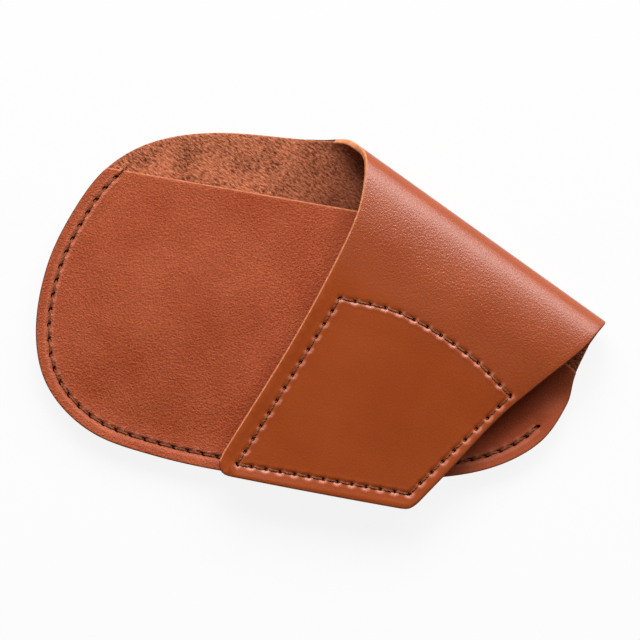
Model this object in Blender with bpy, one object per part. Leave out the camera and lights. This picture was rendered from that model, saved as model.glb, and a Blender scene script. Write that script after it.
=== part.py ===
"""A soft leather pick holder: a sewn pouch with a wide tongue that folds over its front.

One cut of leather makes the back and, rolled over at the upper right, the flap. A second cut is
the pocket, sewn to the back round three sides, and a third is the facing sewn under the flap's end.
The pouch lies on its back: +X runs along the pocket's mouth, +Y to the mouth side, +Z is up.
"""

import math

import bpy
import numpy as np
from mathutils import Vector
from mathutils.geometry import delaunay_2d_cdt

MM = 0.001

# Overall size
POUCH_LENGTH = 112.6 * MM
DRAWN_LENGTH = 112.6  # length at which the outlines below are drawn, in millimetres
DRAWN = POUCH_LENGTH / DRAWN_LENGTH

# Leather
LEATHER = 1.2 * MM
FACING_LEATHER = 0.9 * MM
THREAD = 0.45 * MM
POCKET_CROWN = 4.6 * MM

# Clearances
LAY_GAP = 0.3 * MM  # between leathers sewn together
THREAD_GAP = 0.12 * MM  # between a thread and the leather it lies on
FLAP_ROOM = 0.41 * MM  # over the pocket's crown, with the facing and its thread above
FLAP_END_ROOM = 0.96 * MM  # between the two seams, where the flap's end comes down
FOLD_GAP = 0.3 * MM  # where the leather is parted at the hinge line

# Fold: as high as the leathers that lie one on another
FOLD_HEIGHT = (3 * LEATHER + 2 * LAY_GAP + POCKET_CROWN + FACING_LEATHER + THREAD + 2 * THREAD_GAP
               + FLAP_ROOM)
ROLL_RADIUS = FOLD_HEIGHT / 2  # outer skin of the fold, on its lower half
FOLD_REACH = 14.0 * MM  # how far in from its outermost line the fold still rounds over
FLAP_DRAPE_TURN = math.radians(12)
FOLD_TURN = math.radians(25.6)  # fold line, clockwise from +X
FOLD_START = np.array([7.9, 32.9]) * DRAWN  # left end of the fold's outermost line
PROFILE_STEPS = 48

# Seams
STITCH_PITCH = 3.0 * MM
SEAM_INSET = 2.6 * MM
SEAM_CORNER = 1.6 * MM  # the flap seam cuts its corners by this much
SLOT_LENGTH = 1.8 * MM
SLOT_WIDTH = THREAD + 0.55 * MM
THREAD_CLIMB = 0.45 * SLOT_LENGTH  # from the middle of a slot to where the thread is out of it

# Pouch form
RIM_LIFT = 1.0 * MM  # the sewn rim stands clear of the table
RIM_BLEND = 6.0 * MM
POCKET_RISE = 20.0 * MM  # how far from the seam the crown is reached
POCKET_PRESSED = 0.5  # share of the crown that the flap presses out on the right
PRESS_START = -16.0 * DRAWN
PRESS_SPAN = 26.0 * DRAWN
MOUTH_Y = 21.4 * DRAWN
MOUTH_BEND = np.array([13.0, 21.4]) * DRAWN  # where the mouth turns to follow the fold
MOUTH_END = np.array([54.6, -2.2]) * DRAWN
SEAM_END_Y = -16.3 * DRAWN  # height on the right side where the pocket seam stops

# Back edge in plan, from the left end of the fold round the left, the bottom and the right
BACK_EDGE = np.array([
    (-6.0, 33.7), (-24.0, 31.9), (-36.0, 27.9), (-44.0, 21.3), (-49.2, 11.5), (-52.5, -0.5),
    (-52.3, -14.0), (-48.0, -24.2), (-38.5, -31.3), (-25.5, -33.9), (-8.0, -34.6), (10.0, -33.2),
    (26.0, -30.0), (41.0, -25.3), (50.6, -18.4), (55.0, -9.6), (55.6, -3.6), (57.4, 3.0),
]) * DRAWN

# Flap edge as it lies folded, in fold axes: along the fold, and from its outermost line inward
FLAP_LEFT = np.array([
    (-1.2, 1.0), (1.3, 4.6), (4.2, 11.0), (6.4, 22.0), (8.6, 40.0), (10.3, 65.6),
]) * DRAWN
FLAP_END = np.array([
    (10.8, 68.0), (12.6, 69.2), (15.0, 68.5), (45.4, 54.4), (47.2, 53.2), (47.9, 51.4),
]) * DRAWN
FLAP_RIGHT = np.array([(49.3, 42.0), (51.2, 28.0), (54.0, 17.0), (56.8, 7.0), (57.5, 1.0)]) * DRAWN
BACK_CREST_LEFT = -5.0 * DRAWN
BACK_ROLL_LEFT = -8.7 * DRAWN  # along the fold, where the back's edge starts up the roll
BACK_ROLL_SHARE = 0.4  # how far up the back's part of the roll that is
CREST_RIGHT = 57.5 * DRAWN
FLAP_CREST_LEFT = -3.6 * DRAWN

# Flap seam in fold axes: three straight runs and a bowed one nearest the fold
FLAP_SEAM_CORNERS = np.array([(11.4, 27.1), (14.0, 66.0), (45.4, 50.9), (50.4, 23.2)]) * DRAWN
FLAP_SEAM_BOW = np.array([(50.4, 23.2), (39.0, 21.4), (23.0, 22.5), (11.4, 27.1)]) * DRAWN
FACING_MARGIN = 1.7 * MM

# Facet sizes
EDGE_STEP = 3.2 * MM
POCKET_STEP = 6.5 * MM
FLAP_STEP = 9.0 * MM
ROLL_STEPS = 6  # facets in each half of the roll
RIM_RING_SHARES = (0.35, 0.7, 1.0)  # where rings of points follow the back's rim
RIM_RING_SKIP = 2
SHARP_ANGLE = math.radians(40)

LEATHER_COLOUR = (0.42, 0.10, 0.035, 1)
FACING_COLOUR = (0.36, 0.085, 0.03, 1)
THREAD_COLOUR = (0.10, 0.03, 0.015, 1)
ROUGHNESS = 0.6

ROLL_MIDDLE = ROLL_RADIUS - LEATHER / 2
FLAP_DROP = POCKET_CROWN + FLAP_ROOM - RIM_LIFT - THREAD - FLAP_END_ROOM
FLAP_DRAPE_RADIUS = (FLAP_SEAM_CORNERS[1, 1] - FOLD_REACH) ** 2 / (2 * FLAP_DROP)  # the flap past its fold
FOLD_ALONG = np.array([math.cos(FOLD_TURN), -math.sin(FOLD_TURN)])
FOLD_INWARD = np.array([-math.sin(FOLD_TURN), -math.cos(FOLD_TURN)])


# Plane curves

def smooth_path(points, step):
    """A Catmull-Rom curve through the points, with facets of about one step."""
    ends = np.vstack([2 * points[0] - points[1], points, 2 * points[-1] - points[-2]])
    out = []
    for before, start, end, after in zip(ends, ends[1:], ends[2:], ends[3:]):
        count = max(1, round(np.linalg.norm(end - start) / step))
        for t in np.arange(count) / count:
            out.append(0.5 * (2 * start + (end - before) * t
                              + (2 * before - 5 * start + 4 * end - after) * t**2
                              + (3 * start - before - 3 * end + after) * t**3))
    return np.array(out + [points[-1]])


def straight_path(start, end, step):
    count = max(1, round(np.linalg.norm(end - start) / step))
    return start + (end - start) * np.linspace(0, 1, count + 1)[:, None]


def directions(path, closed):
    """The unit direction of travel at each point of a path."""
    run = np.roll(path, -1, axis=0) - np.roll(path, 1, axis=0) if closed else np.gradient(path, axis=0)
    return run / np.linalg.norm(run, axis=1)[:, None]


def left_of(run):
    return np.column_stack([-run[:, 1], run[:, 0]])


def inset_path(path, inset, closed=False):
    """The path moved to its left, which is inward on a counter-clockwise edge."""
    return path + inset * left_of(directions(path, closed))


def trimmed(path, cut):
    """A path shortened by a cut at each end."""
    reach = np.concatenate([[0], np.cumsum(np.linalg.norm(np.diff(path, axis=0), axis=1))])
    stations = np.linspace(cut, reach[-1] - cut, len(path))
    return np.column_stack([np.interp(stations, reach, path[:, i]) for i in range(2)])


def even_path(path, pitch):
    """Points a whole number of pitches apart along a path, both ends included."""
    reach = np.concatenate([[0], np.cumsum(np.linalg.norm(np.diff(path, axis=0), axis=1))])
    stations = np.linspace(0, reach[-1], max(1, round(reach[-1] / pitch)) + 1)
    return np.column_stack([np.interp(stations, reach, path[:, i]) for i in range(2)])


def distance_to_path(points, path):
    start = path[:-1]
    run = np.diff(path, axis=0)
    offset = points[:, None] - start[None]
    share = np.clip((offset * run).sum(axis=2) / (run * run).sum(axis=1), 0, 1)
    return np.linalg.norm(offset - share[..., None] * run, axis=2).min(axis=1)


def smoothstep(value):
    value = np.clip(value, 0, 1)
    return value * value * (3 - 2 * value)


# The fold: pattern points (along, round) on leather that rolls over and comes back

quarter = np.linspace(0, math.pi / 2, PROFILE_STEPS + 1)
drape = np.linspace(0, FLAP_DRAPE_TURN, PROFILE_STEPS + 1)
under_inward = ROLL_RADIUS - ROLL_MIDDLE * np.sin(quarter)
under_height = ROLL_RADIUS - ROLL_MIDDLE * np.cos(quarter)
over_inward = FOLD_REACH - (FOLD_REACH - LEATHER / 2) * np.cos(quarter)
over_height = ROLL_RADIUS + ROLL_MIDDLE * np.sin(quarter)
drape_inward = FOLD_REACH + FLAP_DRAPE_RADIUS * np.sin(drape)
drape_height = ROLL_RADIUS + ROLL_MIDDLE - FLAP_DRAPE_RADIUS * (1 - np.cos(drape))
profile_inward = np.concatenate([under_inward, over_inward[1:], drape_inward[1:]])
profile_height = np.concatenate([under_height, over_height[1:], drape_height[1:]])
profile_round = np.concatenate([[0], np.cumsum(np.hypot(np.diff(profile_inward), np.diff(profile_height)))])
profile_turn = np.unwrap(np.arctan2(np.gradient(profile_height, profile_round),
                                    -np.gradient(profile_inward, profile_round)))
profile_turn[0] = 0
CREST = profile_round[PROFILE_STEPS]
ROLL_END = profile_round[2 * PROFILE_STEPS]


def to_fold(plan):
    """Plan points in fold axes: along the fold, and inward from its outermost line."""
    return np.column_stack([(plan - FOLD_START) @ FOLD_ALONG, (plan - FOLD_START) @ FOLD_INWARD])


def lower_pattern(plan):
    """Plan points on the flat back as pattern points; round is negative before the roll."""
    folded = to_fold(plan)
    return np.column_stack([folded[:, 0], ROLL_RADIUS - folded[:, 1]])


def upper_pattern(folded):
    """Points of the folded flap, as they lie in fold axes, as pattern points past the crest."""
    upper = slice(PROFILE_STEPS, None)
    around = np.interp(folded[:, 1], profile_inward[upper], profile_round[upper])
    return np.column_stack([folded[:, 0], around])


def bend(pattern, inside):
    """Pattern points placed in space, moved off the leather's middle towards its flesh side."""
    along, around = pattern.T
    turn = np.interp(around, profile_round, profile_turn)
    inward = np.interp(around, profile_round, profile_inward) - np.minimum(around, 0)
    inward = inward + inside * np.sin(turn)
    height = np.interp(around, profile_round, profile_height) + inside * np.cos(turn)
    plan = FOLD_START + along[:, None] * FOLD_ALONG + inward[:, None] * FOLD_INWARD
    return np.column_stack([plan, height])


# Edges and seams

back_edge = smooth_path(BACK_EDGE, EDGE_STEP)
mouth_first = np.argmax(back_edge[:, 1] < MOUTH_Y)
mouth_last = len(back_edge) - 1 - np.argmax(back_edge[::-1, 1] < MOUTH_END[1])
pocket_edge = back_edge[mouth_first:mouth_last + 1]
seam_last = len(back_edge) - 1 - np.argmax(back_edge[::-1, 1] < SEAM_END_Y)
pocket_seam = inset_path(back_edge[mouth_first:seam_last + 1], SEAM_INSET)
pocket_holes = even_path(pocket_seam, STITCH_PITCH)

seam_runs = [straight_path(a, b, EDGE_STEP) for a, b in zip(FLAP_SEAM_CORNERS, FLAP_SEAM_CORNERS[1:])]
seam_runs.append(smooth_path(FLAP_SEAM_BOW, EDGE_STEP))
flap_seam = np.vstack([trimmed(upper_pattern(run), SEAM_CORNER) for run in seam_runs])
flap_holes = even_path(np.vstack([flap_seam, flap_seam[:1]]), STITCH_PITCH)[:-1]


def rim_height(plan):
    """How far the back's rim is drawn up beside the pocket seam."""
    away = distance_to_path(plan, pocket_seam)
    return RIM_LIFT * (1 - smoothstep((away - SEAM_INSET) / RIM_BLEND))


def pocket_gap(plan):
    """The room between the back and the pocket: none at the seam, full where picks lie."""
    away = distance_to_path(plan, pocket_seam)
    pressed = 1 - POCKET_PRESSED * smoothstep((plan[:, 0] - PRESS_START) / PRESS_SPAN)
    return LAY_GAP + POCKET_CROWN * pressed * smoothstep((away - SEAM_INSET) / POCKET_RISE)


def place_back(pattern, inside):
    place = bend(pattern, inside)
    place[:, 2] += np.where(pattern[:, 1] < 0, rim_height(place[:, :2]), 0)
    return place


def place_pocket(plan, upward):
    height = LEATHER * 1.5 + rim_height(plan) + pocket_gap(plan) + upward
    return np.column_stack([plan, height])


def place_facing(pattern, inside):
    return bend(pattern, LEATHER / 2 + LAY_GAP + FACING_LEATHER / 2 + inside)


# Solids

def slot_corners(holes, closed):
    """The four corners of the needle slot at each hole, long along the seam."""
    run = directions(holes, closed)
    long = run * SLOT_LENGTH / 2
    wide = left_of(run) * SLOT_WIDTH / 2
    return [np.array([h + l - w, h + l + w, h - l + w, h - l - w]) for h, l, w in zip(holes, long, wide)]


def material(name, colour):
    made = bpy.data.materials.new(name)
    made.use_nodes = True
    shader = made.node_tree.nodes["Principled BSDF"]
    shader.inputs["Base Color"].default_value = colour
    shader.inputs["Roughness"].default_value = ROUGHNESS
    return made


def add_object(name, data, finish):
    made = bpy.data.objects.new(name, data)
    made.data.materials.append(finish)
    bpy.context.scene.collection.objects.link(made)
    return made


def leather_sheet(name, outline, slots, inner, place, thickness, finish):
    """A cut of leather: its outline and slots meshed flat, then placed as two skins and a rim.

    place(points, offset) puts flat points in space, offset from the middle of the leather.
    """
    loops = [outline, *slots]
    points = np.vstack([*loops, inner])
    owner = np.concatenate([np.full(len(loop), i) for i, loop in enumerate(loops)])
    edges = []
    for i in range(len(loops)):
        members = np.flatnonzero(owner == i)
        edges += list(zip(members.tolist(), np.roll(members, -1).tolist()))
    scaled = [Vector(p) for p in (points / MM).tolist()]
    flat, _, faces, origins, _, _ = delaunay_2d_cdt(scaled, edges, [], 1, 1e-4)
    owners = [owner[o[0]] if o and o[0] < len(owner) else -1 for o in origins]
    kept = [f for f in faces if not (owners[f[0]] > 0 and owners[f[0]] == owners[f[1]] == owners[f[2]])]
    flat = np.array([tuple(v) for v in flat]) * MM
    skins = np.vstack([place(flat, thickness / 2), place(flat, -thickness / 2)])
    sides = {(f[i], f[(i + 1) % 3]) for f in kept for i in range(3)}
    rim = [(b, a, a + len(flat), b + len(flat)) for a, b in sides if (b, a) not in sides]
    under = [tuple(v + len(flat) for v in reversed(f)) for f in kept]
    mesh = bpy.data.meshes.new(name)
    mesh.from_pydata(skins.tolist(), [], [*kept, *under, *sorted(rim)])
    mesh.shade_smooth()
    mesh.set_sharp_from_angle(angle=SHARP_ANGLE)
    return add_object(name, mesh, finish)


def inner_points(outline, slots, points, clear):
    """The points that lie inside an outline, clear of its edge and of every slot."""
    start = outline
    end = np.roll(outline, -1, axis=0)
    spans = (start[None, :, 1] > points[:, None, 1]) != (end[None, :, 1] > points[:, None, 1])
    rise = np.where(end[:, 1] == start[:, 1], 1, end[:, 1] - start[:, 1])
    cross = start[:, 0] + (points[:, None, 1] - start[:, 1]) / rise * (end[:, 0] - start[:, 0])
    inside = (spans & (points[:, None, 0] < cross)).sum(axis=1) % 2 == 1
    far = distance_to_path(points, np.vstack([outline, outline[:1]])) > clear
    for slot in slots:
        far &= np.linalg.norm(points - slot.mean(axis=0), axis=1) > max(clear, SLOT_LENGTH)
    return points[inside & far]


def grid(low, high, step):
    x, y = np.meshgrid(np.arange(low[0], high[0], step), np.arange(low[1], high[1], step))
    return np.column_stack([x.ravel(), y.ravel()])


def thread(name, holes, closed, place, finish):
    """One unbroken thread: over the leather between slots, down into each slot and up again.

    place(points, rise) puts pattern points at a height over the leather's face.
    """
    over = THREAD / 2 + THREAD_GAP
    stations = np.vstack([holes, holes[:1]]) if closed else holes
    points = []
    rises = []
    for start, end in zip(stations, stations[1:]):
        climb = THREAD_CLIMB / np.linalg.norm(end - start)
        for share, rise in ((0, -over), (climb, over), (1 - climb, over)):
            points.append(start + (end - start) * share)
            rises.append(rise)
    if not closed:
        points.append(stations[-1])
        rises.append(-over)
    route = place(np.array(points), np.array(rises))
    curve = bpy.data.curves.new(name, "CURVE")
    curve.dimensions = "3D"
    spline = curve.splines.new("POLY")
    spline.points.add(len(route) - 1)
    for point, co in zip(spline.points, route):
        point.co = (*co, 1)
    spline.use_cyclic_u = closed
    curve.bevel_depth = THREAD / 2
    curve.bevel_resolution = 0
    curve.use_fill_caps = True
    return add_object(name, curve, finish)


for old in list(bpy.data.objects):
    bpy.data.objects.remove(old)

leather = material("leather", LEATHER_COLOUR)
facing_leather = material("facing_leather", FACING_COLOUR)
thread_finish = material("thread", THREAD_COLOUR)

# Back panel, with the lower quarter of the roll
roll_rows = np.linspace(0, 1, ROLL_STEPS + 1)
flat_edge = lower_pattern(back_edge)
back_top = CREST - FOLD_GAP / 2
right_run = np.linspace(flat_edge[-1, 0], CREST_RIGHT, ROLL_STEPS + 1)
right_roll = np.column_stack([right_run, back_top * roll_rows])
left_start = (BACK_ROLL_LEFT, BACK_ROLL_SHARE * back_top)
left_ends = np.array([flat_edge[0], left_start, (BACK_CREST_LEFT, back_top)])
left_roll = smooth_path(left_ends, back_top / ROLL_STEPS)[::-1]
crest_run = straight_path(right_roll[-1], left_roll[0], FLAP_STEP)
back_outline = np.vstack([flat_edge, right_roll[1:-1], crest_run, left_roll[1:-1]])
back_slots = slot_corners(lower_pattern(pocket_holes), False)
rim_rings = [inset_path(pocket_seam, SEAM_INSET + RIM_BLEND * share)[::RIM_RING_SKIP]
             for share in RIM_RING_SHARES]
roll_places = np.arange(FLAP_CREST_LEFT, CREST_RIGHT, FLAP_STEP)
back_rows = [np.column_stack([roll_places, np.full(len(roll_places), back_top * row)])
             for row in roll_rows[:-1]]
back_inner = np.vstack([lower_pattern(np.vstack(rim_rings)), *back_rows])
back_inner = inner_points(back_outline, back_slots, back_inner, LEATHER)
leather_sheet("back_panel", back_outline, back_slots, back_inner, place_back, LEATHER, leather)

# Pocket panel
mouth = np.vstack([straight_path(pocket_edge[-1], MOUTH_END, EDGE_STEP),
                   straight_path(MOUTH_END, MOUTH_BEND, EDGE_STEP)[1:],
                   straight_path(MOUTH_BEND, pocket_edge[0], EDGE_STEP)[1:-1]])
pocket_outline = np.vstack([pocket_edge, mouth[1:]])
pocket_slots = slot_corners(pocket_holes, False)
pocket_inner = grid(pocket_outline.min(axis=0), pocket_outline.max(axis=0), POCKET_STEP)
pocket_inner = inner_points(pocket_outline, pocket_slots, pocket_inner, POCKET_STEP / 2)
leather_sheet("pocket_panel", pocket_outline, pocket_slots, pocket_inner, place_pocket, LEATHER, leather)

# Flap, with the upper quarter of the roll
flap_left = upper_pattern(smooth_path(FLAP_LEFT, EDGE_STEP))
flap_end = upper_pattern(smooth_path(FLAP_END, EDGE_STEP))
flap_right = upper_pattern(smooth_path(FLAP_RIGHT, EDGE_STEP))
flap_start = CREST + FOLD_GAP / 2
crest_ends = np.array([(CREST_RIGHT, flap_start), (FLAP_CREST_LEFT, flap_start)])
flap_crest = straight_path(*crest_ends, FLAP_STEP)
flap_outline = np.vstack([flap_left, flap_end, flap_right, flap_crest])
flap_slots = slot_corners(flap_holes, True)
flap_rows = [np.column_stack([roll_places, np.full(len(roll_places), CREST + (ROLL_END - CREST) * row)])
             for row in roll_rows[1:]]
flap_grid = grid((FLAP_CREST_LEFT, ROLL_END + FLAP_STEP), (CREST_RIGHT, flap_outline[:, 1].max()), FLAP_STEP)
flap_inner = inner_points(flap_outline, flap_slots, np.vstack([*flap_rows, flap_grid]), LEATHER)
flap_pieces = [leather_sheet("flap", flap_outline, flap_slots, flap_inner, bend, LEATHER, leather)]

# Facing under the flap's end
facing_outline = inset_path(flap_seam, FACING_MARGIN, True)
facing_inner = inner_points(facing_outline, flap_slots, flap_grid, LEATHER)
flap_pieces.append(leather_sheet("flap_facing", facing_outline, flap_slots, facing_inner, place_facing,
                                 FACING_LEATHER, facing_leather))


# Threads, each lying on one face of its seam

def over_pocket(plan, rise):
    return place_pocket(plan, LEATHER / 2 + rise)


def under_back(plan, rise):
    return place_back(lower_pattern(plan), -LEATHER / 2 - rise)


def over_flap(pattern, rise):
    return bend(pattern, -LEATHER / 2 - rise)


def under_facing(pattern, rise):
    return bend(pattern, LEATHER / 2 + LAY_GAP + FACING_LEATHER + rise)


thread("pocket_seam_needle_thread", pocket_holes, False, over_pocket, thread_finish)
thread("pocket_seam_bobbin_thread", pocket_holes, False, under_back, thread_finish)
flap_pieces.append(thread("flap_seam_needle_thread", flap_holes, True, over_flap, thread_finish))
flap_pieces.append(thread("flap_seam_bobbin_thread", flap_holes, True, under_facing, thread_finish))

# The flap turns about the outer skin of the leather along the crest of the fold
hinge = bpy.data.objects.new("flap_hinge", None)
hinge.location = (*(FOLD_START + FOLD_ALONG * CREST_RIGHT / 2), ROLL_RADIUS)
bpy.context.scene.collection.objects.link(hinge)
for piece in flap_pieces:
    piece.parent = hinge
    piece.location = -hinge.location
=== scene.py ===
"""A soft leather pick holder: a sewn pouch whose wide tongue folds over its front as a flap.

Three cuts of leather and the threads of two seams, made from their flat patterns.
"""

import math
from collections import namedtuple

import bpy
import numpy as np
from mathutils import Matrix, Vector
from mathutils.geometry import delaunay_2d_cdt


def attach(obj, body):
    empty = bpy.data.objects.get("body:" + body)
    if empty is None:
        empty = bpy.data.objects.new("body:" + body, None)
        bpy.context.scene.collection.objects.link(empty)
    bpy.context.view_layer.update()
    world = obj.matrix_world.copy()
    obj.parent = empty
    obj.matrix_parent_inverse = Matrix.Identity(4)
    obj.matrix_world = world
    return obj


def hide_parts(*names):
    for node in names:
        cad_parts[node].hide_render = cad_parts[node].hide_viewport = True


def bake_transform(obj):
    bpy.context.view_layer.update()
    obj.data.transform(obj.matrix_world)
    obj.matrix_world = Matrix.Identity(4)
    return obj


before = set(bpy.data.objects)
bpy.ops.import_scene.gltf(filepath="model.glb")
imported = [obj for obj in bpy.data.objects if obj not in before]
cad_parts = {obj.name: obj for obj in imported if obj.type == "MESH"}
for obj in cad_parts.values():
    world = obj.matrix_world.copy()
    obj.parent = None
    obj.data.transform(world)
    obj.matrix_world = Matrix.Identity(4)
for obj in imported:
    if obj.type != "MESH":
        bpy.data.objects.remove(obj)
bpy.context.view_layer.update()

# Table, light and camera
# The pouch lies on a white table and is seen from straight above, turned a little.
# Two large soft lights stand past the mouth: one at the upper left, one farther off beyond the fold.
MM = 0.001
PICTURE_WIDTH = 128 * MM
PICTURE_CENTRE = (3.3 * MM, -1.45 * MM)
CAMERA_TURN = math.radians(9.96)
CAMERA_LENS = 400
SENSOR = 36
POUCH_LEVEL = 6 * MM
TABLE_SIZE = 6.0
TABLE_GAP = 0.05 * MM
TABLE_WHITE = (0.9, 0.9, 0.9, 1)
TABLE_ROUGHNESS = 0.9
TABLE_GLOW = 0.88
SKY = (1, 0.985, 0.97, 1)
SKY_STRENGTH = 0.07
MOUTH_LIGHT = {"place": (-0.29, 0.79, 0.72), "aim": (0, 0, 0), "size": (0.7, 0.6), "power": 9.9}
FOLD_LIGHT = {"place": (0.34, 1.25, 0.88), "aim": (0.01, 0, 0), "size": (1.4, 0.95), "power": 20.5}


def add_object(name, data):
    made = bpy.data.objects.new(name, data)
    bpy.context.scene.collection.objects.link(made)
    return made


def seen_directly(nodes, links):
    """One for rays that show the white surroundings, and nought for those that light the pouch."""
    path = nodes.new("ShaderNodeLightPath")
    seen = path.outputs["Is Camera Ray"]
    for ray in ("Is Glossy Ray", "Is Transmission Ray"):
        larger = nodes.new("ShaderNodeMath")
        larger.operation = "MAXIMUM"
        links.new(seen, larger.inputs[0])
        links.new(path.outputs[ray], larger.inputs[1])
        seen = larger.outputs["Value"]
    return seen


def soft_light(name, place, aim, size, power):
    lamp = bpy.data.lights.new(name, "AREA")
    lamp.shape = "RECTANGLE"
    lamp.size, lamp.size_y = size
    lamp.energy = power
    made = add_object(name, lamp)
    made.location = place
    made.rotation_euler = (Vector(aim) - Vector(place)).to_track_quat("-Z", "Y").to_euler()


bpy.context.scene.view_settings.view_transform = "Standard"

camera_data = bpy.data.cameras.new("camera")
camera_data.lens = CAMERA_LENS
camera_data.sensor_width = SENSOR
camera = add_object("camera", camera_data)
camera.location = (*PICTURE_CENTRE, POUCH_LEVEL + PICTURE_WIDTH * CAMERA_LENS / SENSOR)
camera.rotation_euler = (0, 0, CAMERA_TURN)
bpy.context.scene.camera = camera

world = bpy.data.worlds.new("dim_room")
world.use_nodes = True
sky = world.node_tree.nodes["Background"]
sky.inputs["Color"].default_value = SKY
sky.inputs["Strength"].default_value = SKY_STRENGTH
bpy.context.scene.world = world

table_mesh = bpy.data.meshes.new("table")
half = TABLE_SIZE / 2
corners = [(x * half, y * half, -TABLE_GAP) for x, y in ((-1, -1), (1, -1), (1, 1), (-1, 1))]
table_mesh.from_pydata(corners, [], [(0, 1, 2, 3)])
table = add_object("table", table_mesh)
table_white = bpy.data.materials.new("table_white")
table_white.use_nodes = True
table_nodes = table_white.node_tree.nodes
table_links = table_white.node_tree.links
table_paint = table_nodes["Principled BSDF"]
table_paint.inputs["Base Color"].default_value = TABLE_WHITE
table_paint.inputs["Roughness"].default_value = TABLE_ROUGHNESS
table_glow = table_nodes.new("ShaderNodeEmission")
table_share = table_nodes.new("ShaderNodeMath")
table_share.operation = "MULTIPLY"
table_share.inputs[1].default_value = TABLE_GLOW
table_links.new(seen_directly(table_nodes, table_links), table_share.inputs[0])
table_mix = table_nodes.new("ShaderNodeMixShader")
table_links.new(table_share.outputs["Value"], table_mix.inputs["Fac"])
table_links.new(table_paint.outputs["BSDF"], table_mix.inputs[1])
table_links.new(table_glow.outputs["Emission"], table_mix.inputs[2])
table_links.new(table_mix.outputs["Shader"], table_nodes["Material Output"].inputs["Surface"])
table_mesh.materials.append(table_white)

soft_light("mouth_side_light", **MOUTH_LIGHT)
soft_light("fold_side_light", **FOLD_LIGHT)


# Back and flap leather
# One cut of vegetable-tanned hide, grain side out. Its oval back lies on the table and its
# tongue is rolled over along a slanted line and lies on the pocket as the flap.
LEATHER = 1.2 * MM
ROLL_RADIUS = 5.4 * MM
FOLD_REACH = 14.0 * MM
FLAP_DRAPE_RADIUS = 250 * MM
FLAP_DRAPE_TURN = math.radians(3.2)
FLAP_STRAIGHT = 60 * MM
PROFILE_STEPS = 48
FOLD_TURN = math.radians(25.6)
FOLD_START = np.array([7.9, 32.9]) * MM
ROLL_MIDDLE = ROLL_RADIUS - LEATHER / 2
FOLD_ALONG = np.array([math.cos(FOLD_TURN), -math.sin(FOLD_TURN)])
FOLD_INWARD = np.array([-math.sin(FOLD_TURN), -math.cos(FOLD_TURN)])
# Cut edges: the back's in plan, the flap's along the fold and inward from its outermost line
BACK_EDGE = np.array([
    (-6.0, 33.7), (-24.0, 31.9), (-36.0, 27.9), (-44.0, 21.3), (-49.2, 11.5), (-52.5, -0.5),
    (-52.3, -14.0), (-48.0, -24.2), (-38.5, -31.3), (-25.5, -33.9), (-8.0, -34.6), (10.0, -33.2),
    (26.0, -30.0), (41.0, -25.3), (50.6, -18.4), (55.0, -9.6), (55.6, -3.6), (57.4, 3.0),
]) * MM
FLAP_LEFT = np.array([
    (-1.2, 1.0), (1.3, 4.6), (4.2, 11.0), (6.4, 22.0), (8.6, 40.0), (10.3, 65.6),
]) * MM
FLAP_END = np.array([
    (10.8, 68.0), (12.6, 69.2), (15.0, 68.5), (45.4, 54.4), (47.2, 53.2), (47.9, 51.4),
]) * MM
FLAP_RIGHT = np.array([(49.3, 42.0), (51.2, 28.0), (54.0, 17.0), (56.8, 7.0), (57.5, 1.0)]) * MM
CREST_LEFT = np.array([(-4.4, 7.5), (-8.7, 3.0)]) * MM
CREST_RIGHT = 57.5 * MM
# Seams and the rim they draw up
STITCH_PITCH = 3.0 * MM
SEAM_INSET = 2.6 * MM
MOUTH_Y = 21.4 * MM
SEAM_END_Y = -16.3 * MM
FLAP_SEAM_CORNERS = np.array([(11.4, 27.1), (14.0, 66.0), (45.4, 50.9), (50.4, 23.2)]) * MM
FLAP_SEAM_BOW = np.array([(50.4, 23.2), (39.0, 21.4), (23.0, 22.5), (11.4, 27.1)]) * MM
RIM_LIFT = 1.0 * MM
RIM_BLEND = 6.0 * MM
RIM_TURNED_UP = 0.38 * MM
RIM_TURN_SPAN = (-20 * MM, 10 * MM)
# Mesh steps, and the rounded rim
EDGE_STEP = 0.8 * MM
EDGE_ROUND = 0.3 * MM
EDGE_TURNS = np.radians((30, 60, 90))
SHEET_STEP = 1.2 * MM
ROW_SHARE = math.sqrt(3) / 2
SEAM_STEP = 0.3 * MM
SEAM_BAND = 2.0 * MM
# Needle holes, and the relief that sewing and handling leave in the hide
FLAP_SLIT = (1.2 * MM, 0.66 * MM)
FLAP_SLANT = 0.0
FLAP_CHANNEL = 0.2 * MM
# Lips on the side of each hole that the light falls on; their pale colour is partly painted highlight.
FLAP_LIP_REACH = 0.72 * MM
FLAP_LIP_TURNS = np.radians((-25, 15, 55, 95))
FLAP_RIDGES = ((-0.75 * MM, 0.35 * MM, 0.06 * MM),)
FLAP_EDGE_LIFT = 0.4 * MM
FLAP_EDGE_MARGIN = 2.6 * MM
FLAP_EDGE_START = 30 * MM
FLAP_EDGE_BLEND = 12 * MM
FLAP_DROOP = 1.7 * MM
DROOP_START = 20 * MM
DROOP_RUN = 30 * MM
DROOP_BLEND = 34 * MM
HOLE_DEPTH_SHARE = 0.85
HOLE_SIDES = 8
HOLE_CLEAR = 1.3
CHANNEL_WIDTH = 0.45 * MM
DIMPLE_DEPTH = 0.15 * MM
DIMPLE_WIDTH = 0.7 * MM
LIP_RISE = 0.18 * MM
LIP_WIDTH = 0.34 * MM
WAVE_RISE = 0.02 * MM
HIDE_WAVES = ((0.31, 0.17, 0.8), (0.13, -0.37, 2.1))
CROSSED_WAVES = ((0.55, 0.48, 0.0), (0.21, -0.6, 1.0))
CROSSED_SHARE = 0.6
PRESSED_GRAIN = 0.22
WRINKLE_GRAIN = 0.45
WRINKLE_PLACE = 0.9
WRINKLE_SPREAD = 0.35
# What the mesh maker is told, and the finish of each strip of the rim
HARD_ANGLE = math.radians(50)
INSIDE_ONLY = 1
SAME_POINT = 1e-4
GRAIN, FLESH, PALE_CUT, DARK_CUT = range(4)
GRAIN_STRIPS = 1
FLESH_STRIPS = 3


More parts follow.
